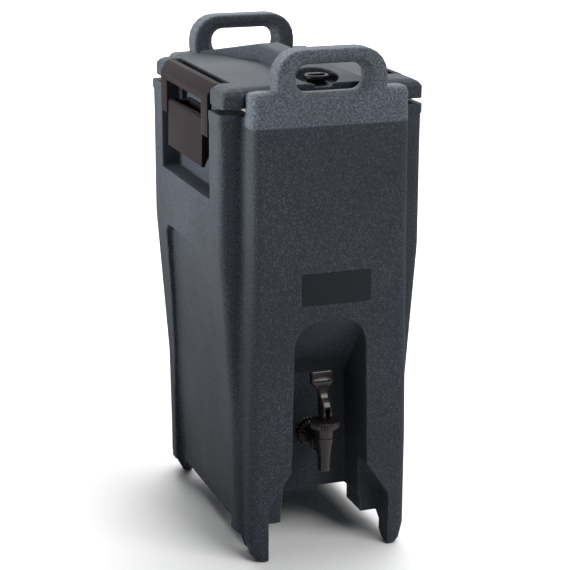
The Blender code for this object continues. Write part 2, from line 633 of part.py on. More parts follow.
def build_latch(side):
    label = side_name(side)
    lever_u, lever_z = LEVER_PIVOT
    hook_u, hook_z = HOOK_PIVOT
    lever_pivot = (side * lever_u, 0, lever_z)
    hook_pivot = (side * hook_u, 0, hook_z)
    pin_hole = PIN_R + 0.0002

    # bracket: a plate on the pocket's wall with two ears for the lever's pin
    plate = latch_prism("latch_bracket_" + label, side,
                        [(POCKET_WALL_X + GAP, 0.486), (0.1028, 0.486), (0.1028, 0.532),
                         (POCKET_WALL_X + GAP, 0.532)], -0.060, 0.060)
    steps = []
    ear = rounded([(0.1020, lever_z - 0.006, 0), (lever_u + 0.006, lever_z - 0.006, 0.0058),
                   (lever_u + 0.006, lever_z + 0.006, 0.0058), (0.1020, lever_z + 0.006, 0)], 4)
    for y in (-0.056, 0.056):
        steps.append((latch_prism("ear", side, ear, y - 0.002, y + 0.002,
                                  [circle(LEVER_PIVOT, pin_hole)]), "UNION"))
    for y, z in SCREW_PLACES:
        steps.append((cylinder("hole", SCREW_R + GAP, (side * 0.098, y, z), (side * 0.106, y, z), 10),
                      "DIFFERENCE"))
    finish(combine(plate, steps), BROWN)

    # lever: a paddle with a tapering web at each edge
    paddle = rounded([(0.1215, 0.471, 0.0012), (0.1262, 0.471, 0.0012), (0.1252, 0.530, 0.0035),
                      (0.1212, 0.530, 0)], 3)
    lever = latch_prism("latch_lever_" + label, side, paddle, -LEVER_HALF_Y, LEVER_HALF_Y)
    web = rounded([(0.1068, 0.5085, 0.004), (0.1214, 0.473, 0), (0.1240, 0.473, 0), (0.1236, 0.5285, 0),
                   (0.1068, 0.5295, 0.006)], 3)
    steps = []
    for end in (-1, 1):
        ys = sorted((end * (LEVER_HALF_Y - 0.0044), end * (LEVER_HALF_Y - 0.0004)))
        steps.append((latch_prism("web", side, web, *ys, [circle(LEVER_PIVOT, pin_hole),
                                                         circle(HOOK_PIVOT, pin_hole)]), "UNION"))
    finish(combine(lever, steps), BROWN, smooth=True, pivot=lever_pivot)

    # hook frame: a cross bar that reaches over the lid, two arms and their ears
    bar = rounded([(0.1214, 0.553, 0), (0.1270, 0.553, 0), (0.1270, 0.5615, 0.002),
                   (0.1170, 0.5742, 0.002), (0.1090, 0.5742, 0.0008), (0.1090, 0.5710, 0),
                   (0.1155, 0.5710, 0), (0.1214, 0.5635, 0)], 2)
    frame = latch_prism("latch_hook_" + label, side, bar, -LATCH_HALF_Y, LATCH_HALF_Y)
    arm = [(0.1214, 0.512), (0.1270, 0.512), (0.1270, 0.556), (0.1214, 0.556)]
    ear = rounded([(hook_u - 0.006, hook_z - 0.006, 0.0058), (0.1220, hook_z - 0.006, 0),
                   (0.1220, hook_z + 0.014, 0), (hook_u - 0.006, hook_z + 0.006, 0.0058)], 4)
    steps = []
    for end in (-1, 1):
        ys = sorted((end * (LEVER_HALF_Y + 0.0015), end * LATCH_HALF_Y))
        steps.append((latch_prism("arm", side, arm, *ys), "UNION"))
        ys = sorted((end * (LEVER_HALF_Y + 0.0015), end * (LEVER_HALF_Y + 0.0055)))
        steps.append((latch_prism("ear", side, ear, *ys, [circle(HOOK_PIVOT, pin_hole)]), "UNION"))
    finish(combine(frame, steps), BROWN, smooth=True, pivot=hook_pivot)

    pin = cylinder("latch_lever_pin_" + label, PIN_R, (side * lever_u, -0.0700, lever_z),
                   (side * lever_u, 0.0700, lever_z))
    finish(pin, STEEL, smooth=True, pivot=lever_pivot)
    pin = cylinder("latch_hook_pin_" + label, PIN_R, (side * hook_u, -0.0755, hook_z),
                   (side * hook_u, 0.0755, hook_z))
    finish(pin, STEEL, smooth=True, pivot=hook_pivot)

    for number, (y, z) in enumerate(SCREW_PLACES, 1):
        profile = ((SCREW_R, -0.0065), (SCREW_R, 0.0), (0.0036, 0.0), (0.0036, 0.0010), (0.0020, 0.0018))
        screw = turned("latch_screw_%s_%d" % (label, number), profile, (side * (0.1028 + GAP), y, z),
                       (side, 0, 0), 10)
        finish(screw, STEEL)


# ---------------------------------------------------------------- faucet
def build_faucet():
    spout_axis = (0, FAUCET_Y, 0)

    # body: a tapering barrel and spout with a horizontal shank through the wall
    outside = ((0.0081, SPOUT_TIP_Z), (0.0083, 0.1195), (0.0128, 0.1455), (0.0118, 0.1465),
               (0.0118, 0.1495), (0.0122, 0.1500), (0.0122, 0.1590))
    barrel = turned("faucet_body", outside, spout_axis)
    shank = cylinder("shank", SHANK_R, (0, FAUCET_Y, FAUCET_Z), (0, -0.056, FAUCET_Z), 24)
    shoulder = turned("shoulder", ((0.0118, 0.1140), (0.0138, 0.1500)), (0, 0, FAUCET_Z), (0, -1, 0), 24)
    inside = ((0.0064, SPOUT_TIP_Z - 0.01), (0.0064, 0.1300), (0.0085, 0.1315), (0.0095, 0.1480),
              (0.0095, 0.17))
    bore = turned("bore", inside, spout_axis)
    channel = cylinder("channel", 0.0060, (0, FAUCET_Y, FAUCET_Z), (0, -0.05, FAUCET_Z), 16)
    body = combine(barrel, [(shank, "UNION"), (shoulder, "UNION"), (bore, "DIFFERENCE"),
                            (channel, "DIFFERENCE")])
    finish(body, GLOSS, smooth=True)

    # ribbed collar on the shank, with a rubber washer behind it against the alcove wall
    wall = ALCOVE_WALL_Y
    collar = ribbed_ring("shank_collar", 0.0175, 0.0008, 20, SHANK_R + GAP,
                         (0, wall - 0.0028, FAUCET_Z), (0, -1, 0), 0.0120)
    finish(collar, GLOSS, smooth=True)
    washer = ring_solid("shank_washer_outer", 0.0165, SHANK_R + GAP, GAP, 0.0025,
                        (0, wall, FAUCET_Z), (0, -1, 0))
    finish(washer, RUBBER, smooth=True)
    inner_wall = wall + 0.006 + 0.012 + LINER_WALL
    washer = ring_solid("shank_washer_inner", 0.0150, SHANK_R + GAP, GAP, 0.0023,
                        (0, inner_wall, FAUCET_Z), (0, 1, 0))
    finish(washer, RUBBER, smooth=True)
    nut = turned("shank_nut", ((0.0160, 0.0026), (0.0160, 0.0100)), (0, inner_wall, FAUCET_Z), (0, 1, 0), 6)
    hole = cylinder("hole", SHANK_R + GAP, (0, inner_wall - 0.01, FAUCET_Z),
                    (0, inner_wall + 0.02, FAUCET_Z), 24)
    finish(combine(nut, [(hole, "DIFFERENCE")]), GLOSS)

    # bonnet: the knurled cap on top of the barrel
    bonnet = ribbed_ring("faucet_bonnet", 0.0172, 0.0006, 24, 0.0125, (0, FAUCET_Y, 0.1585),
                         (0, 0, 1), 0.0080)
    roof = turned("roof", ((0.0168, 0.1594), (0.0168, 0.1660), (0.0155, 0.1672), (0.0090, 0.1672)),
                  spout_axis, steps=24)
    room = turned("room", ((0.0095, 0.15), (0.0095, 0.1652)), spout_axis, steps=24)
    hole = cylinder("hole", 0.0029, (0, FAUCET_Y, 0.16), (0, FAUCET_Y, 0.18), 16)
    bonnet = combine(bonnet, [(roof, "UNION"), (room, "DIFFERENCE"), (hole, "DIFFERENCE")])
    finish(bonnet, GLOSS, smooth=True)

    # stem and seat cup, lifted together off the spout's seat by the lever
    stem = turned("faucet_stem", ((0.0026, 0.1385), (0.0026, FAUCET_PIN_Z + 0.0030)), spout_axis, steps=16)
    hole = cylinder("hole", 0.0014, (-0.01, FAUCET_Y, FAUCET_PIN_Z), (0.01, FAUCET_Y, FAUCET_PIN_Z), 12)
    finish(combine(stem, [(hole, "DIFFERENCE")]), STEEL, smooth=True)
    cup = turned("faucet_seat_cup", ((0.0040, 0.1270), (0.0058, 0.1309), (0.0078, 0.1314), (0.0078, 0.1332),
                                     (0.0050, 0.1420), (0.0040, 0.1430)), spout_axis, steps=24)
    room = cylinder("room", 0.0029, (0, FAUCET_Y, 0.1382), (0, FAUCET_Y, 0.15), 16)
    finish(combine(cup, [(room, "DIFFERENCE")]), RUBBER, smooth=True)
    build_spring()

    # lever: a round cam slotted over the pin, a waisted stem and a broad thumb tab, leaning back
    lean = radians(-19)
    pivot = (0, FAUCET_Y, FAUCET_PIN_Z)
    rings = []
    # (height above the pin, half width, half thickness)
    for height, half_x, half_y in ((-0.0120, 0.0058, 0.0036), (-0.0105, 0.0064, 0.0066),
                                   (-0.0075, 0.0064, 0.0092), (0.0000, 0.0064, 0.0098),
                                   (0.0060, 0.0064, 0.0090), (0.0105, 0.0064, 0.0070),
                                   (0.0135, 0.0064, 0.0048), (0.0165, 0.0063, 0.0034),
                                   (0.0225, 0.0066, 0.0030), (0.0270, 0.0085, 0.0030),
                                   (0.0318, 0.0128, 0.0032), (0.0325, 0.0140, 0.0042),
                                   (0.0450, 0.0140, 0.0042), (0.0462, 0.0130, 0.0030)):
        section = rounded([(-half_x, -half_y, 0.0018), (half_x, -half_y, 0.0018),
                           (half_x, half_y, 0.0018), (-half_x, half_y, 0.0018)], 2)
        rings.append([(x, y, height) for x, y in section])
    lever = skin("faucet_lever", rings)
    lever.data.transform(Matrix.Translation(pivot) @ Matrix.Rotation(lean, 4, "X"))
    slot = box("slot", (-0.0030, FAUCET_Y - 0.012, 0.165),
               (0.0030, FAUCET_Y + 0.012, FAUCET_PIN_Z + 0.0050))
    pin_hole = cylinder("pin_hole", 0.0015, (-0.02, FAUCET_Y, FAUCET_PIN_Z),
                        (0.02, FAUCET_Y, FAUCET_PIN_Z), 12)
    lever = combine(lever, [(slot, "DIFFERENCE"), (pin_hole, "DIFFERENCE")])
    finish(lever, GLOSS, smooth=True, pivot=pivot)
    pin = cylinder("faucet_lever_pin", 0.0011, (-0.0060, FAUCET_Y, FAUCET_PIN_Z),
                   (0.0060, FAUCET_Y, FAUCET_PIN_Z), 12)
    finish(pin, STEEL, smooth=True, pivot=pivot)


def ribbed_ring(name, radius, rib, count, hole_radius, centre, axis, length):
    """A ring whose rim is cut into small grip ribs."""
    steps = count * 4
    rings = []
    for along, shrink in ((0.0, 0.0008), (0.0010, 0.0), (length - 0.0010, 0.0), (length, 0.0008)):
        ring = []
        for k in range(steps):
            reach = radius - shrink + (rib if k % 4 < 2 else 0.0)
            ring.append((reach * cos(2 * pi * k / steps), reach * sin(2 * pi * k / steps), along))
        rings.append(ring)
    turn = Vector(axis).to_track_quat("Z", "Y").to_matrix().to_4x4()
    body = skin(name, rings)
    body.data.transform(Matrix.Translation(centre) @ turn)
    hole = turned("hole", ((hole_radius, -0.01), (hole_radius, length + 0.01)), centre, axis, 24)
    return combine(body, [(hole, "DIFFERENCE")])


def build_spring():
    """The return spring between the seat cup and the bonnet."""
    turns = 4
    steps = 12
    curve = bpy.data.curves.new("faucet_spring", "CURVE")
    curve.dimensions = "3D"
    curve.bevel_depth = 0.0005
    curve.bevel_resolution = 1
    curve.use_fill_caps = True
    spline = curve.splines.new("POLY")
    spline.points.add(turns * steps)
    low, high = 0.1440, 0.1642
    for k, point in enumerate(spline.points):
        angle = 2 * pi * k / steps
        rise = low + (high - low) * k / (turns * steps)
        point.co = (0.0070 * cos(angle), FAUCET_Y + 0.0070 * sin(angle), rise, 1.0)
    coil = bpy.data.objects.new("faucet_spring", curve)
    CUTTERS.objects.link(coil)
    finish(mesh_from(coil, 0.00001), STEEL, smooth=True)


def build_nameplate():
    plate = box("nameplate", (NAMEPLATE_X[0], -HALF_DEPTH, NAMEPLATE_Z[0]),
                (NAMEPLATE_X[1], -HALF_DEPTH + NAMEPLATE_T, NAMEPLATE_Z[1]))
    finish(plate, PLATE)


build_shell()
build_liner()
build_foam()
build_lid()
build_vent()
for latch_side in (-1, 1):
    build_latch(latch_side)
build_faucet()
build_nameplate()
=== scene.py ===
import json
from math import cos, pi, radians, sin

import bmesh
import bpy
import numpy as np
from mathutils import Matrix, Vector


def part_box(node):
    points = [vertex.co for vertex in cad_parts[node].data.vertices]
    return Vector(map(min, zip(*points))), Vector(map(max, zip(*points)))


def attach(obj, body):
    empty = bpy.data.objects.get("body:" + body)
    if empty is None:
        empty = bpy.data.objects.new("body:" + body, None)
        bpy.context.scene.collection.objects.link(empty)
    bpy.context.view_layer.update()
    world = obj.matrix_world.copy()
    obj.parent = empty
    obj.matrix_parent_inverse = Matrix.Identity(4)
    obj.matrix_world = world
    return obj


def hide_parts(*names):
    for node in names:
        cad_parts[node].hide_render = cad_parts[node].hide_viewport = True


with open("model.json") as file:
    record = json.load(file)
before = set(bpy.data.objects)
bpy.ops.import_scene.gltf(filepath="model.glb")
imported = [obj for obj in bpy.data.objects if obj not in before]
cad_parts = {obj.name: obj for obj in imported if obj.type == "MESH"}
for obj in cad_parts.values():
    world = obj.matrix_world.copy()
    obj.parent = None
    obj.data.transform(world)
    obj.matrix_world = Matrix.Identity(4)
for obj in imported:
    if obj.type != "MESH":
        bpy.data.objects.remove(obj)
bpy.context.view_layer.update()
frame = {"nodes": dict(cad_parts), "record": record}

NODES = frame["nodes"]
SIDES = ("left", "right")

# Places that the looks depend on, read from the frame (metres)
SPOUT_LOW, SPOUT_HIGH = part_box("faucet_body")
BONNET_LOW, BONNET_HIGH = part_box("faucet_bonnet")
COLLAR_LOW, COLLAR_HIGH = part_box("shank_collar")
CAP_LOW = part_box("vent_cap")[0]
JOINTS = {joint["name"]: joint for joint in frame["record"]["behaviour"]["joints"]}
FAUCET_Y = (BONNET_LOW[1] + BONNET_HIGH[1]) / 2
SHANK_Z = (COLLAR_LOW[2] + COLLAR_HIGH[2]) / 2

# The body moulding
PART_LINE_Z = 0.532            # where the mould's two halves meet, on the front and back panels
PANEL_Y = 0.143                # the raised panels lie beyond this
CORNER_X = 0.088               # the softest corners lie beyond this, beside the panels
LEG_INNER_X = 0.080            # the front legs reach from here ...
LEG_WIDTH = 0.021              # ... this far outwards
TOE_TAPER = 0.0065             # how far a front leg's outer side slopes in at the floor
TOE_HEIGHT = 0.025
SKIRT_Z = 0.030                # lower edge of the side skirts
SOLE_RISE = 0.026              # how far the sole slopes up behind a front toe,
TOE_BACK_Y = -0.154            # from here
SOLE_RUN = 0.030               # over this length,
FOOT_BACK_Y = -0.084           # and it ends here
SOFT_PASSES = 18               # extra rounding of the corners between the panels and the sides

# The camera
CAMERA_PLACE = (-0.72455, -2.02142, 0.91413)
CAMERA_YAW, CAMERA_PITCH, CAMERA_ROLL = radians(19.83), radians(16.08), radians(0.13)
SENSOR_MM, LENS_MM = 36.0, 111.15

# The slate moulding's grain, in features per metre
FINE_GRAIN, COARSE_GRAIN = 560.0, 400.0
GRAIN_DEPTH = 0.00035

# Colours (linear red, green, blue)
SLATE = (0.0150, 0.0188, 0.0255)
SLATE_FLECK = (0.062, 0.073, 0.090)
SLATE_PALE_FLECK = (0.125, 0.141, 0.166)
FAUCET_BLACK, FAUCET_BROWN = (0.0130, 0.0088, 0.0098), (0.021, 0.015, 0.0165)
STEEL_DARK, STEEL_LIGHT = (0.50, 0.49, 0.47), (0.68, 0.67, 0.65)
FOAM_PALE, FOAM_AGED = (0.74, 0.64, 0.40), (0.62, 0.50, 0.27)


# ------------------------------------------------------------------ camera, light and floor
def add_camera():
    """The viewing angle of a product picture: from the front left, a little above."""
    yaw, pitch, roll = CAMERA_YAW, CAMERA_PITCH, CAMERA_ROLL
    forward = Vector((sin(yaw) * cos(pitch), cos(yaw) * cos(pitch), -sin(pitch)))
    level = Vector((cos(yaw), -sin(yaw), 0.0))
    upright = level.cross(forward)
    right = level * cos(roll) + upright * sin(roll)
    up = upright * cos(roll) - level * sin(roll)
    data = bpy.data.cameras.new("camera")
    data.sensor_width = SENSOR_MM
    data.lens = LENS_MM
    data.clip_end = 60.0
    camera = bpy.data.objects.new("camera", data)
    place = Matrix((right, up, -forward)).transposed().to_4x4()
    place.translation = Vector(CAMERA_PLACE)
    camera.matrix_world = place
    bpy.context.scene.collection.objects.link(camera)
    bpy.context.scene.camera = camera


def add_light(name, place, target, size, power, spread=180):
    """A soft box at place, turned to target; spread narrows its beam (degrees)."""
    data = bpy.data.lights.new(name, "AREA")
    data.shape = "RECTANGLE"
    data.size, data.size_y = size
    data.energy = power
    data.spread = radians(spread)
    light = bpy.data.objects.new(name, data)
    light.location = place
    light.rotation_euler = (Vector(target) - Vector(place)).to_track_quat("-Z", "Y").to_euler()
    bpy.context.scene.collection.objects.link(light)


def add_stage():
    """A pale floor and a dim world, lit from overhead, behind, the left and the front right."""
    mesh = bpy.data.meshes.new("floor")
    reach = 14.0
    corners = [(-reach, -reach, 0), (reach, -reach, 0), (reach, reach, 0), (-reach, reach, 0)]
    mesh.from_pydata(corners, [], [(0, 1, 2, 3)])
    floor = bpy.data.objects.new("floor", mesh)
    floor.location.z = -0.0005          # clear of the soles
    bpy.context.scene.collection.objects.link(floor)
    mat = bpy.data.materials.new("floor_pale")
    mat.use_nodes = True
    shader = mat.node_tree.nodes["Principled BSDF"]
    shader.inputs["Base Color"].default_value = (0.80, 0.80, 0.80, 1.0)
    shader.inputs["Roughness"].default_value = 0.9
    mesh.materials.append(mat)

    world = bpy.data.worlds.new("studio")
    world.use_nodes = True
    background = world.node_tree.nodes["Background"]
    background.inputs["Color"].default_value = (0.90, 0.95, 1.0, 1.0)
    background.inputs["Strength"].default_value = 0.10
    bpy.context.scene.world = world
    add_light("overhead", (0.40, 0.60, 2.4), (0.0, 0.25, 0.3), (2.2, 1.8), 56.0)
    add_light("backdrop", (1.6, 4.6, 3.4), (1.6, 4.4, 0.0), (6.0, 4.0), 480.0)
    add_light("left_softbox", (-0.85, 0.06, 0.62), (-0.12, 0.02, 0.57), (0.30, 0.30), 2.2, spread=64)
    add_light("front_fill", (1.00, -1.9, 2.2), (0, 0, 0.30), (1.6, 1.6), 62.0)
    bpy.context.scene.view_settings.view_transform = "Standard"


# ------------------------------------------------------------------ materials
def new_material(name):
    """A new material, with its node tree, shader and object coordinates."""
    mat = bpy.data.materials.new(name)
    mat.use_nodes = True
    shader = mat.node_tree.nodes["Principled BSDF"]
    place = mat.node_tree.nodes.new("ShaderNodeTexCoord")
    return mat, mat.node_tree, shader, place.outputs["Object"]


def noise(tree, place, scale, detail, roughness):
    """Cloudy noise from 0 to 1; its features are about 1 / scale metres across."""
    node = tree.nodes.new("ShaderNodeTexNoise")
    node.inputs["Scale"].default_value = scale
    node.inputs["Detail"].default_value = detail
    node.inputs["Roughness"].default_value = roughness
    tree.links.new(place, node.inputs["Vector"])
    return node.outputs["Fac"]


def spread(tree, value, low, high, to_low=0.0, to_high=1.0):
    """Map a value's range onto another, clamped."""
    node = tree.nodes.new("ShaderNodeMapRange")
    node.inputs["From Min"].default_value = low
    node.inputs["From Max"].default_value = high
    node.inputs["To Min"].default_value = to_low
    node.inputs["To Max"].default_value = to_high
    tree.links.new(value, node.inputs["Value"])
    return node.outputs["Result"]


def maths(tree, operation, first, second):
    """A Math node on two values, each a socket or a number."""
    node = tree.nodes.new("ShaderNodeMath")
    node.operation = operation
    for socket, value in zip(node.inputs, (first, second)):
        if isinstance(value, (int, float)):
            socket.default_value = value
        else:
            tree.links.new(value, socket)
    return node.outputs[0]


def blend_colours(tree, factor, first, second):
    """Mix two colours, each a socket or a tuple, through a Mix node's colour sockets."""
    node = tree.nodes.new("ShaderNodeMix")
    node.data_type = "RGBA"
    tree.links.new(factor, node.inputs["Factor"])
    for socket, value in zip(node.inputs[6:8], (first, second)):
        if isinstance(value, tuple):
            socket.default_value = (*value, 1.0)
        else:
            tree.links.new(value, socket)
    return node.outputs[2]


def bump(tree, height, distance, strength):
    node = tree.nodes.new("ShaderNodeBump")
    node.inputs["Distance"].default_value = distance
    node.inputs["Strength"].default_value = strength
    tree.links.new(height, node.inputs["Height"])
    return node.outputs["Normal"]


def edges(tree):
    """1 on worn, outward edges and 0 elsewhere."""
    geometry = tree.nodes.new("ShaderNodeNewGeometry")
    return spread(tree, geometry.outputs["Pointiness"], 0.515, 0.56)


def axis_of(tree, place, axis):
    """One of a place's coordinates."""
    node = tree.nodes.new("ShaderNodeSeparateXYZ")
    tree.links.new(place, node.inputs[0])
    return node.outputs[axis]


def slate_material(name, coarse_above=None):
    """Rotationally moulded polyethylene: a fine pebble grain with paler flecks, and scuffed edges.

    Above coarse_above, on the end panels, the mould's grain is coarser and paler.
    """
    mat, tree, shader, place = new_material(name)
    fine = noise(tree, place, FINE_GRAIN, 3.0, 0.62)
    coarse = noise(tree, place, COARSE_GRAIN, 2.0, 0.6)
    cloud = noise(tree, place, 7.0, 3.0, 0.55)
    colour = blend_colours(tree, spread(tree, fine, 0.47, 0.70), SLATE, SLATE_FLECK)
    height = fine
    if coarse_above is not None:
        above = spread(tree, axis_of(tree, place, "Z"), coarse_above - 0.0008, coarse_above + 0.0008)
        depth = maths(tree, "ABSOLUTE", axis_of(tree, place, "Y"), 0.0)
        zone = maths(tree, "MULTIPLY", above, spread(tree, depth, PANEL_Y, PANEL_Y + 0.004))
        paler = maths(tree, "MULTIPLY", zone, spread(tree, coarse, 0.40, 0.66, 0.22, 1.0))
        colour = blend_colours(tree, paler, colour, SLATE_PALE_FLECK)
        pebbles = maths(tree, "MULTIPLY", coarse, maths(tree, "MULTIPLY", zone, 1.4))
        height = maths(tree, "ADD", fine, pebbles)
    colour = blend_colours(tree, spread(tree, cloud, 0.30, 0.70, 0.0, 0.35), colour, SLATE)
    worn = maths(tree, "MULTIPLY", edges(tree), spread(tree, coarse, 0.35, 0.70, 0.15, 0.55))
    colour = blend_colours(tree, worn, colour, SLATE_FLECK)
    tree.links.new(colour, shader.inputs["Base Color"])
    sheen_patches = spread(tree, cloud, 0.3, 0.7, 0.74, 0.84)
    rough = maths(tree, "ADD", sheen_patches, spread(tree, fine, 0.3, 0.7, -0.05, 0.05))
    tree.links.new(rough, shader.inputs["Roughness"])
    tree.links.new(bump(tree, height, GRAIN_DEPTH, 0.75), shader.inputs["Normal"])
    shader.inputs["IOR"].default_value = 1.52
    shader.inputs["Specular IOR Level"].default_value = 0.30
    return mat


def textured_plastic(name, base, light, roughness, grain=1400.0, depth=0.00012):
    """Injection-moulded plastic: a fine etched grain, paler at its edges."""
    mat, tree, shader, place = new_material(name)
    fine = noise(tree, place, grain, 1.0, 0.5)
    cloud = noise(tree, place, 22.0, 3.0, 0.6)
    colour = blend_colours(tree, spread(tree, cloud, 0.3, 0.7, 0.0, 0.45), base, light)
    colour = blend_colours(tree, spread(tree, fine, 0.5, 0.75, 0.0, 0.35), colour, light)
    colour = blend_colours(tree, maths(tree, "MULTIPLY", edges(tree), 0.5), colour, light)
    tree.links.new(colour, shader.inputs["Base Color"])
    rough = spread(tree, cloud, 0.3, 0.7, roughness - 0.05, roughness + 0.05)
    tree.links.new(rough, shader.inputs["Roughness"])
    tree.links.new(bump(tree, fine, depth, 0.5), shader.inputs["Normal"])
    shader.inputs["Specular IOR Level"].default_value = 0.13
    return mat


def gloss_plastic(name):
    """Near-black polished plastic with faint flow marks, fingerprints and a soft ripple."""
    mat, tree, shader, place = new_material(name)
    cloud = noise(tree, place, 60.0, 4.0, 0.6)
    ripple = noise(tree, place, 240.0, 1.0, 0.4)
    colour = blend_colours(tree, spread(tree, cloud, 0.35, 0.7), FAUCET_BLACK, FAUCET_BROWN)
    tree.links.new(colour, shader.inputs["Base Color"])
    tree.links.new(spread(tree, cloud, 0.3, 0.75, 0.20, 0.32), shader.inputs["Roughness"])
    tree.links.new(bump(tree, ripple, 0.0002, 0.25), shader.inputs["Normal"])
    shader.inputs["IOR"].default_value = 1.54
    shader.inputs["Specular IOR Level"].default_value = 0.32
    return mat


def steel_material(name):
    """Drawn stainless steel, brushed along its length."""
    mat, tree, shader, place = new_material(name)
    stretch = tree.nodes.new("ShaderNodeMapping")
    stretch.inputs["Scale"].default_value = (1.0, 0.06, 1.0)
    tree.links.new(place, stretch.inputs["Vector"])
    lines = noise(tree, stretch.outputs["Vector"], 2600.0, 2.0, 0.6)
    colour = blend_colours(tree, spread(tree, lines, 0.3, 0.7), STEEL_DARK, STEEL_LIGHT)
    tree.links.new(colour, shader.inputs["Base Color"])
    tree.links.new(spread(tree, lines, 0.3, 0.7, 0.22, 0.36), shader.inputs["Roughness"])
    tree.links.new(bump(tree, lines, 0.00005, 0.3), shader.inputs["Normal"])
    shader.inputs["Metallic"].default_value = 1.0
    return mat


def foam_material(name):
    """Rigid foam: small closed cells, yellowed unevenly."""
    mat, tree, shader, place = new_material(name)
    cells = tree.nodes.new("ShaderNodeTexVoronoi")
    cells.inputs["Scale"].default_value = 700.0
    tree.links.new(place, cells.inputs["Vector"])
    cloud = noise(tree, place, 12.0, 3.0, 0.6)
    colour = blend_colours(tree, spread(tree, cloud, 0.3, 0.7), FOAM_PALE, FOAM_AGED)
    tree.links.new(colour, shader.inputs["Base Color"])
    tree.links.new(spread(tree, cloud, 0.3, 0.7, 0.82, 0.95), shader.inputs["Roughness"])
    tree.links.new(bump(tree, cells.outputs["Distance"], 0.0006, 0.6), shader.inputs["Normal"])
    return mat


# ------------------------------------------------------------------ mesh helpers
def repaint(mat, *nodes):
    """Show CAD nodes as they are, in a material."""
    for node in nodes:
        mesh = NODES[node].data
        mesh.materials.clear()
        mesh.materials.append(mat)


def dress(obj, mat, body, slot, *nodes):
    """Give a finished piece its material and body, and hide the CAD nodes it stands for. The slot
    argument is not used.
    """
    obj.data.materials.clear()
    obj.data.materials.append(mat)
    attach(obj, body)
    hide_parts(*nodes)


def add_mesh(name, bm):
    """A new object in the scene with a bmesh's shape."""
    mesh = bpy.data.meshes.new(name)
    bm.to_mesh(mesh)
    bm.free()
    obj = bpy.data.objects.new(name, mesh)
    bpy.context.scene.collection.objects.link(obj)
    return obj


def welded_copy(name, node):
    """A new object with a CAD node's shape, its triangles joined up."""
    bm = bmesh.new()
    bm.from_mesh(NODES[node].data)
    bmesh.ops.remove_doubles(bm, verts=bm.verts, dist=0.000001)
    return add_mesh(name, bm)


def apply_modifiers(obj):
    """Replace an object's mesh with what its modifiers make of it."""
    bpy.context.view_layer.update()
    evaluated = obj.evaluated_get(bpy.context.evaluated_depsgraph_get())
    mesh = bpy.data.meshes.new_from_object(evaluated)
    obj.modifiers.clear()
    obj.data = mesh


def read_points(mesh):
    """A mesh's vertices as an array with one row each."""
    points = np.empty(len(mesh.vertices) * 3)
    mesh.vertices.foreach_get("co", points)
    return points.reshape(-1, 3)


def relax(mesh, passes, weight=None, keep_volume=True):
    """Round the edges of a fine mesh by moving each vertex towards its neighbours' middle.

    To keep its volume, each pass in is followed by one out, so that thin bars stay as thick.
    weight(points) gives each vertex's share of the movement.
    """
    count = len(mesh.vertices)
    points = read_points(mesh)
    ends = np.empty(len(mesh.edges) * 2, dtype=np.int64)
    mesh.edges.foreach_get("vertices", ends)
    first, second = ends[0::2], ends[1::2]
    degree = np.bincount(ends, minlength=count).reshape(-1, 1)
    share = 1.0 if weight is None else weight(points).reshape(-1, 1)
    pulls = (0.60, -0.62) if keep_volume else (0.5,)
    for pull in pulls * passes:
        total = np.empty_like(points)
        for axis in range(3):
            total[:, axis] = (np.bincount(first, weights=points[second, axis], minlength=count)
                              + np.bincount(second, weights=points[first, axis], minlength=count))
        points = points + pull * share * (total / degree - points)
    mesh.vertices.foreach_set("co", points.ravel())
    mesh.update()


def moulded_copy(name, node, voxel, passes, keep=1.0, reshape=None, softness=None):
    """A CAD node as a soft moulding: remeshed finely, with every edge rounded.

    reshape(points) moves vertices before the rounding. Where softness is near 1 the edges are
    rounded further. keep is the share of the faces that are left at the end.
    """
    obj = welded_copy(name, node)
    remesh = obj.modifiers.new("remesh", "REMESH")
    remesh.mode = "VOXEL"
    remesh.voxel_size = voxel
    apply_modifiers(obj)
    if reshape:
        points = read_points(obj.data)
        reshape(points)
        obj.data.vertices.foreach_set("co", points.ravel())
    relax(obj.data, passes)
    if softness:
        relax(obj.data, SOFT_PASSES, softness, keep_volume=False)
    if keep < 1.0:
        thin = obj.modifiers.new("thin", "DECIMATE")
        thin.ratio = keep
        apply_modifiers(obj)
    obj.data.shade_smooth()
    return obj


def crisp_copy(name, node, width):
    """A CAD node with its facets merged into clean faces and its edges finely rounded."""
    obj = welded_copy(name, node)
    bm = bmesh.new()
    bm.from_mesh(obj.data)
    bmesh.ops.dissolve_limit(bm, angle_limit=radians(0.5), verts=bm.verts, edges=bm.edges)
    bm.to_mesh(obj.data)
    bm.free()
    bevel = obj.modifiers.new("edges", "BEVEL")
    bevel.width = width
    bevel.segments = 3
    bevel.limit_method = "ANGLE"
    bevel.angle_limit = radians(28)
    apply_modifiers(obj)
    obj.data.shade_smooth()
    obj.data.set_sharp_from_angle(angle=radians(40))
    return obj


def ring_mesh(name, rings, hollow=False):
    """A solid through rings of points, capped at both ends. A hollow one closes on itself instead."""
    bm = bmesh.new()
    loops = [[bm.verts.new(point) for point in ring] for ring in rings]
    count = len(loops[0])
    pairs = list(zip(loops, loops[1:]))
    if hollow:
        pairs.append((loops[-1], loops[0]))
    for lower, upper in pairs:
        for k in range(count):
            bm.faces.new((lower[k], lower[(k + 1) % count], upper[(k + 1) % count], upper[k]))
    if not hollow:
        bm.faces.new(reversed(loops[0]))
        bm.faces.new(loops[-1])
    bmesh.ops.recalc_face_normals(bm, faces=bm.faces)
    return add_mesh(name, bm)


def shade(obj, angle):
    """Smooth shading, but for edges sharper than an angle in degrees."""
    obj.data.shade_smooth()
    obj.data.set_sharp_from_angle(angle=radians(angle))
    return obj


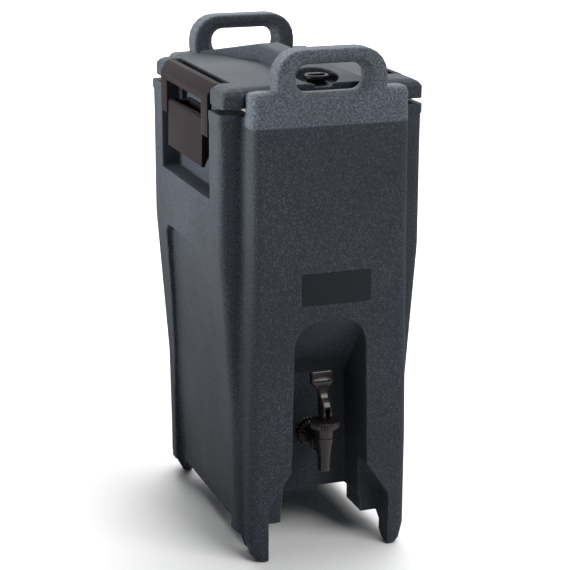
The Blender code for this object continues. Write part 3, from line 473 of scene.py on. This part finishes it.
def turned(name, profile, centre, axis, steps, hollow=False, wave=None):
    """A turned piece from (radius, distance along axis) pairs; wave(angle, row) adds to the radius."""
    turn = Vector(axis).to_track_quat("Z", "Y").to_matrix().to_4x4()
    rings = []
    for row, (radius, along) in enumerate(profile):
        ring = []
        for k in range(steps):
            angle = 2 * pi * k / steps
            reach = radius + (wave(angle, row) if wave else 0.0)
            ring.append((reach * cos(angle), reach * sin(angle), along))
        rings.append(ring)
    obj = ring_mesh(name, rings, hollow)
    obj.data.transform(Matrix.Translation(centre) @ turn)
    return obj


def combine(target, other, operation):
    """Join another solid to target, or cut it out, with an exact Boolean."""
    boolean = target.modifiers.new("combine", "BOOLEAN")
    boolean.object = other
    boolean.operation = operation
    boolean.solver = "EXACT"
    apply_modifiers(target)
    bpy.data.objects.remove(other, do_unlink=True)


def smooth_step(value, low, high):
    """0 below low, 1 above high, and an S-curve between."""
    t = np.clip((value - low) / (high - low), 0.0, 1.0)
    return t * t * (3 - 2 * t)


# ------------------------------------------------------------------ body and lid
def body_softness(points):
    """1 where the moulding is rounded most: the corners between its end panels and its sides.

    It fades out towards the feet and below the rim.
    """
    x, y, z = np.abs(points[:, 0]), np.abs(points[:, 1]), points[:, 2]
    across = smooth_step(y, 0.128, 0.134) * (1 - smooth_step(y, 0.160, 0.166))
    corner = across * smooth_step(x, CORNER_X - 0.002, CORNER_X + 0.002)
    return corner * smooth_step(z, 0.030, 0.200) * (1 - smooth_step(z, 0.500, 0.535))


def shape_front_feet(points):
    """Taper the front legs to toes, and slope the sole up behind them."""
    x, y, z = points[:, 0].copy(), points[:, 1], points[:, 2]
    wide = np.abs(x)
    in_front = 1 - smooth_step(y, -PANEL_Y - 0.001, -PANEL_Y + 0.001)
    outward = np.clip((wide - LEG_INNER_X) / LEG_WIDTH, 0.0, 1.0)
    above_floor = np.clip(z / TOE_HEIGHT, 0.0, 1.0)
    points[:, 0] -= np.sign(x) * TOE_TAPER * in_front * outward * (1 - above_floor)
    behind_toe = np.clip((y - TOE_BACK_Y) / SOLE_RUN, 0.0, 1.0)
    before_skirt = 1 - smooth_step(y, FOOT_BACK_Y, FOOT_BACK_Y + 0.014)
    ramp = SOLE_RISE * behind_toe * before_skirt * smooth_step(wide, 0.070, 0.078)
    points[:, 2] = np.where(z < SKIRT_Z, ramp + z * (1 - ramp / SKIRT_Z), z)


def build_body(slate):
    voxel = 0.0015
    body = moulded_copy("body_moulding", "outer_shell", voxel, 4,
                        reshape=shape_front_feet, softness=body_softness)
    dress(body, slate, "body", "slate_shell", "outer_shell")


def build_lid(slate):
    lid = moulded_copy("lid_moulding", "lid_shell", 0.0012, 4)
    dress(lid, slate, "lid", "slate_lid", "lid_shell")


# ------------------------------------------------------------------ latches
def build_latches(brown, steel):
    for side in SIDES:
        hook = crisp_copy("hook_frame_" + side, "latch_hook_" + side, 0.0007)
        dress(hook, brown, "hook_" + side, "latch_plastic", "latch_hook_" + side)
        lever = crisp_copy("lever_paddle_" + side, "latch_lever_" + side, 0.0008)
        dress(lever, brown, "lever_" + side, "latch_plastic", "latch_lever_" + side)
        bracket = crisp_copy("bracket_plate_" + side, "latch_bracket_" + side, 0.0004)
        dress(bracket, brown, "body", "latch_plastic", "latch_bracket_" + side)
        repaint(steel, "latch_lever_pin_" + side, "latch_hook_pin_" + side)
        repaint(steel, *("latch_screw_%s_%d" % (side, number) for number in range(1, 5)))


# ------------------------------------------------------------------ vent cap
def build_vent(plastic):
    """The round cap in the lid's well: a low disc with a raised rim and a grip bar across it."""
    centre = Vector(JOINTS["vent_cap_turn"]["pos_m"])
    base = centre.z
    stem_low = CAP_LOW[2] - base
    # (radius, height above the joint): the stem, the skirt, the rim and the sunk middle
    profile = ((0.0060, stem_low), (0.0064, stem_low + 0.0006), (0.0064, 0.0002), (0.0106, 0.0002),
               (0.0110, 0.0008), (0.0110, 0.0030), (0.0118, 0.0036), (0.0136, 0.0038), (0.0145, 0.0043),
               (0.0150, 0.0054), (0.0151, 0.0066), (0.0148, 0.0078), (0.0141, 0.0087), (0.0131, 0.0092),
               (0.0120, 0.0091), (0.0112, 0.0085), (0.0106, 0.0079), (0.0098, 0.0077), (0.0010, 0.0077))
    cap = turned("vent_cap_moulding", profile, centre, (0, 0, 1), 96)
    rings = []
    # the grip bar, drawn in towards its top
    for height, half_x, half_y in ((0.0066, 0.0108, 0.0026), (0.0092, 0.0104, 0.0022),
                                   (0.0101, 0.0098, 0.0018), (0.0104, 0.0088, 0.0012)):
        section = superellipse(half_x, half_y, 0.45, 32)
        rings.append([(centre.x + x, centre.y + y, base + height) for x, y in section])
    combine(cap, ring_mesh("bar", rings), "UNION")
    dress(shade(cap, 40), plastic, "vent", "vent_plastic", "vent_cap")
    repaint(plastic, "vent_seal")


def superellipse(half_u, half_v, power, steps):
    """An outline between an ellipse (power 1) and a rectangle (power 0)."""
    points = []
    for k in range(steps):
        angle = 2 * pi * k / steps
        c, s = cos(angle), sin(angle)
        points.append((half_u * abs(c) ** power * (1 if c >= 0 else -1),
                       half_v * abs(s) ** power * (1 if s >= 0 else -1)))
    return points


# ------------------------------------------------------------------ faucet
def ribs(count, depth, first, last):
    """Square-topped grip ribs round a turned piece, from its first to its last ribbed row."""
    def wave(angle, row):
        return depth * max(-1.0, min(1.0, 2.2 * cos(count * angle))) if first <= row <= last else 0.0
    return wave


def build_faucet(gloss, seal, steel):
    tip = SPOUT_LOW[2]
    top = SPOUT_HIGH[2]
    axis = (0, 0, 1)
    centre = (0, FAUCET_Y, 0)

    # barrel: a straight spout widening to a groove and a neck under the bonnet, open inside
    flare, groove, seat = 0.1190, 0.1470, 0.1300      # heights above the floor
    profile = ((0.0064, tip + 0.0006), (0.0068, tip), (0.0077, tip), (0.0081, tip + 0.0006),
               (0.0083, flare), (0.0085, flare + 0.0010), (0.0126, groove - 0.0030),
               (0.0128, groove - 0.0020), (0.0127, groove - 0.0012), (0.0119, groove - 0.0006),
               (0.0117, groove), (0.0117, groove + 0.0020), (0.0121, groove + 0.0027),
               (0.0122, groove + 0.0034), (0.0122, top - 0.0006), (0.0117, top), (0.0100, top),
               (0.0095, top - 0.0006), (0.0095, groove + 0.0010), (0.0085, seat + 0.0015),
               (0.0064, seat))
    barrel = turned("faucet_barrel", profile, centre, axis, 96, hollow=True)
    start = FAUCET_Y + 0.0090                         # within the barrel's wall
    shank_end = SPOUT_HIGH[1]
    shoulder = -0.1140                                # where the cone steps down to the shank
    shank_profile = ((0.0060, start), (0.0128, start + 0.0006), (0.0134, start + 0.0016),
                     (0.0120, shoulder - 0.0010), (0.0116, shoulder), (0.0090, shoulder),
                     (0.0090, shank_end - 0.0008),
                     (0.0082, shank_end), (0.0064, shank_end), (0.0060, shank_end - 0.0005))
    shank = turned("shank", shank_profile, (0, 0, SHANK_Z), (0, 1, 0), 72, hollow=True)
    combine(barrel, shank, "UNION")
    dress(shade(barrel, 32), gloss, "body", "faucet_plastic", "faucet_body")

    # collar and bonnet, both ribbed for grip
    back = COLLAR_HIGH[1]
    depth = COLLAR_HIGH[1] - COLLAR_LOW[1]
    rim = ((0.0150, 0.0), (0.0170, 0.0006), (0.0176, 0.0016), (0.0176, depth - 0.0030),
           (0.0170, depth - 0.0016), (0.0155, depth - 0.0006), (0.0146, depth), (0.0132, depth),
           (0.0132, 0.0006))
    collar = turned("collar_moulding", rim, (0, back, SHANK_Z), (0, -1, 0), 240, hollow=True,
                    wave=ribs(24, 0.0007, 1, 4))
    dress(shade(collar, 30), gloss, "body", "faucet_plastic", "shank_collar")

    # the bonnet's outside, its roof with the stem's hole, and the room inside
    low = BONNET_LOW[2]
    high = BONNET_HIGH[2]
    dome = ((0.0126, low), (0.0164, low), (0.0171, low + 0.0006), (0.0173, low + 0.0016),
            (0.0173, high - 0.0024), (0.0170, high - 0.0014), (0.0164, high - 0.0005), (0.0156, high),
            (0.0128, high), (0.0120, high - 0.0005), (0.0032, high - 0.0005), (0.0030, high - 0.0009),
            (0.0030, high - 0.0020), (0.0094, high - 0.0022), (0.0096, low + 0.0012),
            (0.0124, low + 0.0008))
    bonnet = turned("bonnet_moulding", dome, centre, axis, 240, hollow=True,
                    wave=ribs(30, 0.0005, 2, 5))
    dress(shade(bonnet, 30), gloss, "body", "faucet_plastic", "faucet_bonnet")
    build_faucet_lever(gloss)
    repaint(seal, "shank_washer_outer", "shank_washer_inner", "faucet_seat_cup")
    repaint(steel, "faucet_spring", "faucet_lever_pin")
    repaint(gloss, "shank_nut", "faucet_stem")


def build_faucet_lever(gloss):
    """The thumb lever: a slotted cam on the pin, a waist, and a broad tab with a raised border."""
    pin = Vector(JOINTS["faucet_lever_pull"]["pos_m"])
    lean = radians(-19)             # the tab leans back, towards the tank
    # (height above the pin, half width, half depth, squareness), from the cam's foot to the tab
    outline = (
        (-0.0123, 0.0052, 0.0020, 0.70), (-0.0120, 0.0060, 0.0036, 0.60),
        (-0.0106, 0.0064, 0.0064, 0.50), (-0.0075, 0.0064, 0.0091, 0.40),
        (-0.0035, 0.0064, 0.0099, 0.36), (0.0000, 0.0064, 0.0100, 0.36),
        (0.0035, 0.0064, 0.0097, 0.36), (0.0068, 0.0064, 0.0088, 0.38),
        (0.0098, 0.0064, 0.0073, 0.40), (0.0122, 0.0064, 0.0055, 0.42),
        (0.0145, 0.0064, 0.0041, 0.45), (0.0175, 0.0064, 0.0034, 0.45),
        (0.0205, 0.0065, 0.0032, 0.45), (0.0240, 0.0070, 0.0031, 0.42),
        (0.0272, 0.0088, 0.0031, 0.38), (0.0304, 0.0117, 0.0033, 0.34),
        (0.0322, 0.0134, 0.0040, 0.30), (0.0330, 0.0140, 0.0043, 0.26),
        (0.0450, 0.0140, 0.0043, 0.26), (0.0458, 0.0138, 0.0041, 0.28),
        (0.0463, 0.0132, 0.0034, 0.30))
    rings = [[(x, y, height) for x, y in superellipse(half_x, half_y, power, 48)]
             for height, half_x, half_y, power in outline]
    lever = ring_mesh("thumb_lever", rings)

    def carve(low, high, radius=0.0):
        combine(lever, rounded_box(low, high, radius), "DIFFERENCE")

    # a shallow panel in each face of the tab, inside its border
    panel_floor, beyond_face = 0.0033, 0.0060
    for low_y, high_y in ((-beyond_face, -panel_floor), (panel_floor, beyond_face)):
        carve((-0.0118, low_y, 0.0348), (0.0118, high_y, 0.0442), 0.0006)
    lever.data.transform(Matrix.Translation(pin) @ Matrix.Rotation(lean, 4, "X"))
    # the slot through the cam's foot that the stem's top stands in
    carve((-0.0030, pin.y - 0.014, pin.z - 0.018), (0.0030, pin.y + 0.014, pin.z + 0.0050))
    dress(shade(lever, 38), gloss, "faucet_handle", "faucet_plastic", "faucet_lever")


def rounded_box(low, high, radius):
    """A box between two corners, its edges rounded when radius isn't 0."""
    bm = bmesh.new()
    bmesh.ops.create_cube(bm, size=1.0)
    for vert in bm.verts:
        vert.co = Vector(a + (b - a) * (c + 0.5) for a, b, c in zip(low, high, vert.co))
    if radius:
        bmesh.ops.bevel(bm, geom=bm.edges[:], offset=radius, segments=2, affect="EDGES", profile=0.5)
    return add_mesh("cutter", bm)


# ------------------------------------------------------------------ nameplate, liner and insides
def build_insides(mats):
    plate = crisp_copy("nameplate_blank", "nameplate", 0.0004)
    dress(plate, mats["plate"], "body", "nameplate", "nameplate")
    liner = moulded_copy("liner_moulding", "inner_liner", 0.0020, 4, keep=0.35)
    dress(liner, mats["liner"], "body", "liner", "inner_liner")
    pan = moulded_copy("lid_underside", "lid_pan", 0.0015, 3, keep=0.5)
    dress(pan, mats["slate_lid"], "lid", "slate_lid", "lid_pan")
    gasket = crisp_copy("gasket_ring", "lid_gasket", 0.0007)
    dress(gasket, mats["seal"], "lid", "seal", "lid_gasket")
    repaint(mats["slate_lid"], "vent_bushing")
    repaint(mats["foam"], "foam_insulation", "lid_foam")


def main():
    add_camera()
    add_stage()
    slate = slate_material("slate_shell_grain", PART_LINE_Z)
    mats = {
        "slate_lid": slate_material("slate_lid_grain"),
        "plate": textured_plastic("nameplate_vinyl", (0.0110, 0.0118, 0.0150),
                                  (0.0165, 0.0180, 0.0225), 0.75, grain=1600.0, depth=0.00006),
        "liner": textured_plastic("liner_polyethylene", (0.40, 0.42, 0.42),
                                  (0.50, 0.52, 0.51), 0.42, grain=900.0, depth=0.00010),
        "seal": textured_plastic("silicone", (0.50, 0.48, 0.44),
                                 (0.60, 0.58, 0.53), 0.60, grain=1200.0, depth=0.00008),
        "foam": foam_material("rigid_foam"),
    }
    brown = textured_plastic("latch_nylon", (0.0050, 0.0026, 0.0036),
                             (0.0105, 0.0066, 0.0082), 0.76)
    vent = textured_plastic("vent_cap_plastic", (0.0050, 0.0033, 0.0040),
                            (0.011, 0.0076, 0.0088), 0.46, grain=1500.0, depth=0.00008)
    gloss = gloss_plastic("faucet_gloss")
    steel = steel_material("stainless_steel")
    build_body(slate)
    build_lid(mats["slate_lid"])
    build_latches(brown, steel)
    build_vent(vent)
    build_faucet(gloss, mats["seal"], steel)
    build_insides(mats)


main()
